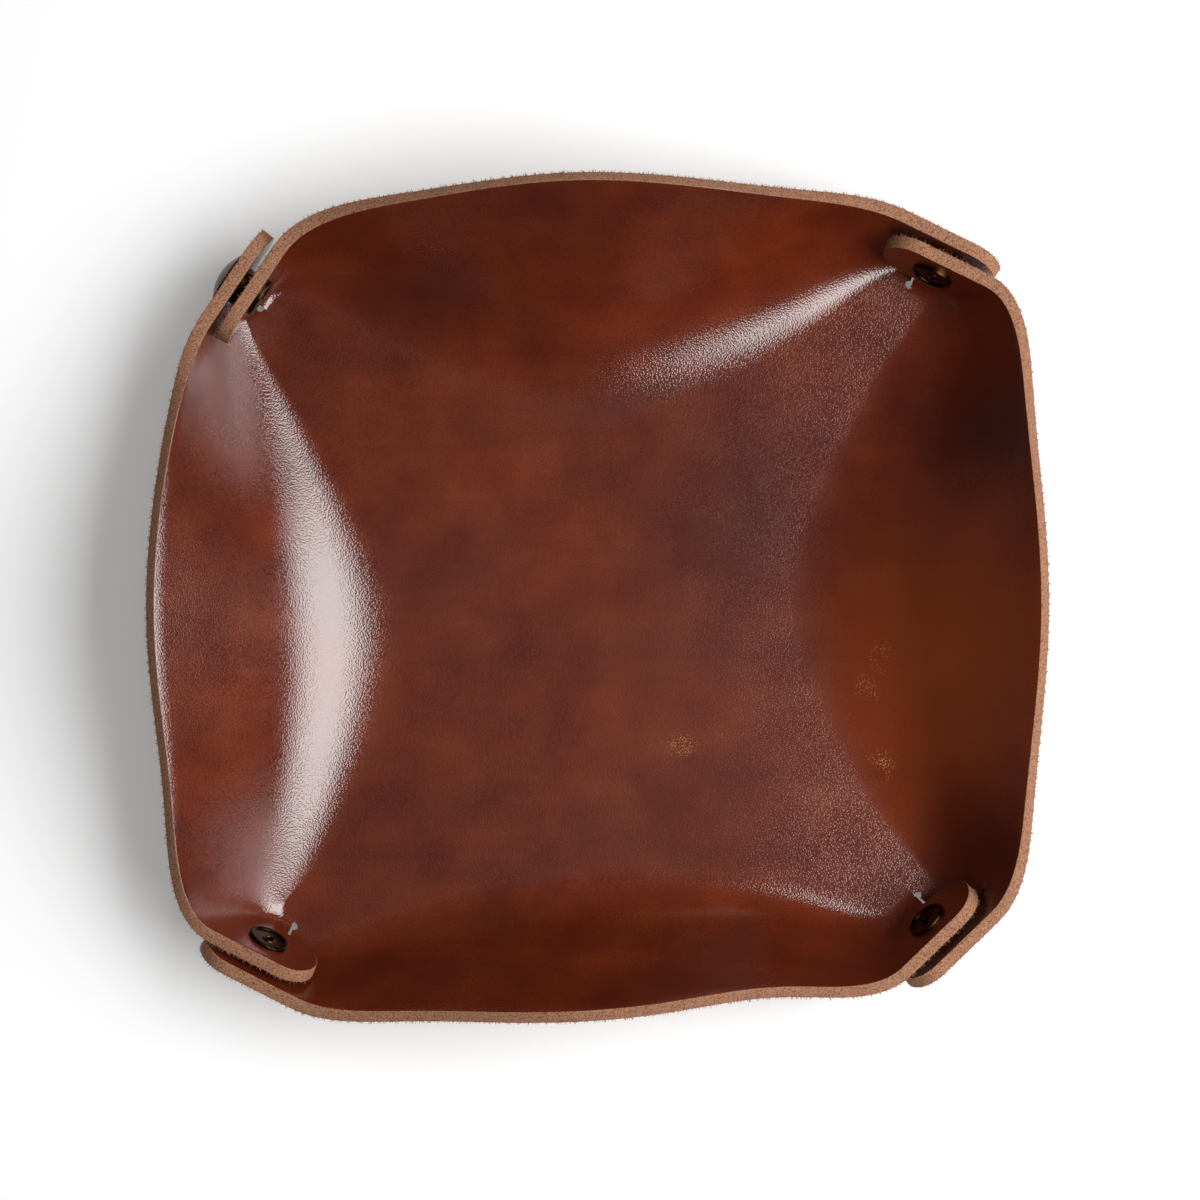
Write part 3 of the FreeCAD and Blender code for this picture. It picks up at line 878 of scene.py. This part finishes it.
def cut_leather():
    """Raw cut edge of vegetable-tanned cowhide: pale packed fibres with darker gaps."""
    finishes = settings().finishes
    material, tree = new_material("raw_cut_leather")
    place = add(tree, "ShaderNodeTexCoord").outputs["Object"]
    fibre = add(tree, "ShaderNodeTexNoise", {"Vector": place, "Scale": 1 / (FIBRE_MM * MM), "Detail": 6})
    pale = add(tree, "ShaderNodeMapRange", {"Value": fibre, "From Min": 0.36, "From Max": 0.58})
    base = add(tree, "ShaderNodeMixRGB", {
        "Fac": pale, "Color1": rgba(finishes.edge_dark), "Color2": rgba(finishes.edge)})
    bump = add(tree, "ShaderNodeBump", {"Height": fibre, "Strength": 0.6, "Distance": FIBRE_DEPTH})
    shader = add(tree, "ShaderNodeBsdfPrincipled", {
        "Base Color": base, "Roughness": 0.8, "Normal": bump, "Specular IOR Level": 0.2})
    add(tree, "ShaderNodeOutputMaterial", {"Surface": shader})
    return material


def antique_brass():
    """Stamped brass with a near-black antique finish, which has rubbed to a dull gold in places."""
    finishes = settings().finishes
    material, tree = new_material("antique_brass")
    place = add(tree, "ShaderNodeTexCoord").outputs["Object"]
    tarnish = add(tree, "ShaderNodeTexNoise", {"Vector": place, "Scale": 1 / (TARNISH_MM * MM), "Detail": 3})
    worn = add(tree, "ShaderNodeMapRange", {
        "Value": tarnish, "From Min": 0.4, "From Max": 0.8, "To Max": 0.4})
    base = add(tree, "ShaderNodeMixRGB", {
        "Fac": worn, "Color1": rgba(finishes.brass), "Color2": rgba(finishes.brass_worn)})
    rough = add(tree, "ShaderNodeMapRange", {"Value": tarnish, "To Min": 0.22, "To Max": 0.42})
    shader = add(tree, "ShaderNodeBsdfPrincipled", {"Base Color": base, "Roughness": rough, "Metallic": 1})
    add(tree, "ShaderNodeOutputMaterial", {"Surface": shader})
    return material


def spring_wire():
    """Drawn steel wire, bright and smooth."""
    material, tree = new_material("spring_wire")
    shader = add(tree, "ShaderNodeBsdfPrincipled", {
        "Base Color": rgba(settings().finishes.wire), "Roughness": 0.25, "Metallic": 1})
    add(tree, "ShaderNodeOutputMaterial", {"Surface": shader})
    return material


class VALET_OT_press_studs(bpy.types.Operator):
    """Finish the press studs: darkened brass, with a bright wire spring in each socket"""
    bl_idname = "valet.press_studs"
    bl_label = "Press studs"

    def execute(self, context):
        brass = antique_brass()
        wire = spring_wire()
        for name, node in frame["nodes"].items():
            if name.startswith("snap_"):
                node.data.materials.clear()
                node.data.materials.append(wire if name.startswith("snap_spring_") else brass)
        return {"FINISHED"}


# Stage

CAMERA_HEIGHT = 0.8
SENSOR = 36.0
FRAME_WIDTH = 0.3
FLOOR_SIZE = 6
PAPER = (0.9, 0.9, 0.9, 1)
WHITE = (1, 1, 1, 1)
GLOW = 0.16
ROOM_LIGHT = 0.04

# Lights: place, width, height and power
SOFTBOX = (Vector((0.68, -0.04, 0.8)), 1.12, 0.76, 16.5)
SHEEN = (Vector((-0.06, -0.13, 1.5)), 0.25, 0.25, 0.06)
FILL = (Vector((-0.3, 0, 1.4)), 1.6, 1.6, 5)


def area_light(name, place, width, height, power):
    """A flat light that faces the tray."""
    lamp = bpy.data.lights.new(name, "AREA")
    lamp.shape = "RECTANGLE"
    lamp.size = width
    lamp.size_y = height
    lamp.energy = power
    obj = bpy.data.objects.new(name, lamp)
    obj.location = place
    obj.rotation_euler = (-place).to_track_quat("-Z", "Y").to_euler()
    bpy.context.scene.collection.objects.link(obj)
    return obj


def studio_floor():
    """White paper sweep, which the camera and reflections see as white."""
    material, tree = new_material("white_paper")
    ray = add(tree, "ShaderNodeLightPath").outputs
    paper = add(tree, "ShaderNodeBsdfDiffuse", {"Color": PAPER})
    glow = add(tree, "ShaderNodeEmission", {"Color": WHITE, "Strength": GLOW})
    seen = add(tree, "ShaderNodeMath", {0: ray["Is Camera Ray"], 1: ray["Is Glossy Ray"]},
               operation="MAXIMUM")
    seen = add(tree, "ShaderNodeMath", {0: seen, 1: ray["Is Transmission Ray"]}, operation="MAXIMUM")
    both = add(tree, "ShaderNodeAddShader", {0: paper, 1: glow})
    mix = add(tree, "ShaderNodeMixShader", {"Fac": seen, 1: paper, 2: both})
    add(tree, "ShaderNodeOutputMaterial", {"Surface": mix})
    return material


class VALET_OT_stage(bpy.types.Operator):
    """Set up the floor, the lights and the camera"""
    bl_idname = "valet.stage"
    bl_label = "Stage"

    def execute(self, context):
        scene = context.scene
        bpy.ops.object.select_all(action="DESELECT")
        bpy.ops.mesh.primitive_plane_add(size=FLOOR_SIZE)
        floor = context.object
        floor.name = "studio_floor"
        floor.data.materials.append(studio_floor())
        area_light("softbox", *SOFTBOX)
        area_light("sheen", *SHEEN)
        fill = area_light("fill", *FILL)
        # The fill only lifts the shadows, and stays out of the leather's reflections
        fill.visible_glossy = False
        world = bpy.data.worlds.new("studio_world")
        world.use_nodes = True
        background = world.node_tree.nodes["Background"].inputs
        background["Color"].default_value = WHITE
        background["Strength"].default_value = ROOM_LIGHT
        scene.world = world
        scene.view_settings.view_transform = "Standard"
        camera = bpy.data.cameras.new("camera")
        camera.sensor_width = SENSOR
        camera.lens = SENSOR * CAMERA_HEIGHT / FRAME_WIDTH
        obj = bpy.data.objects.new("camera", camera)
        obj.location = (0, 0, CAMERA_HEIGHT)
        scene.collection.objects.link(obj)
        scene.camera = obj
        return {"FINISHED"}


class VALET_PT_panel(bpy.types.Panel):
    """Pieces of the valet tray"""
    bl_label = "Valet tray"
    bl_space_type = "VIEW_3D"
    bl_region_type = "UI"
    bl_category = "Valet Tray"

    def draw(self, context):
        for operator in (VALET_OT_leather, VALET_OT_press_studs, VALET_OT_stage):
            self.layout.operator(operator.bl_idname)
        for group in (settings().leather, settings().finishes):
            box = self.layout.box()
            for name in group.__annotations__:
                box.prop(group, name)


CLASSES = (LeatherSizes, Finishes, TraySettings, VALET_OT_leather, VALET_OT_press_studs, VALET_OT_stage,
           VALET_PT_panel)


def register():
    for kind in CLASSES:
        bpy.utils.register_class(kind)
    bpy.types.Scene.valet_tray = bpy.props.PointerProperty(type=TraySettings)


def unregister():
    del bpy.types.Scene.valet_tray
    for kind in reversed(CLASSES):
        bpy.utils.unregister_class(kind)


def main():
    register()
    bpy.ops.valet.stage()
    bpy.ops.valet.leather()
    bpy.ops.valet.press_studs()


if __name__ == "__main__":
    main()
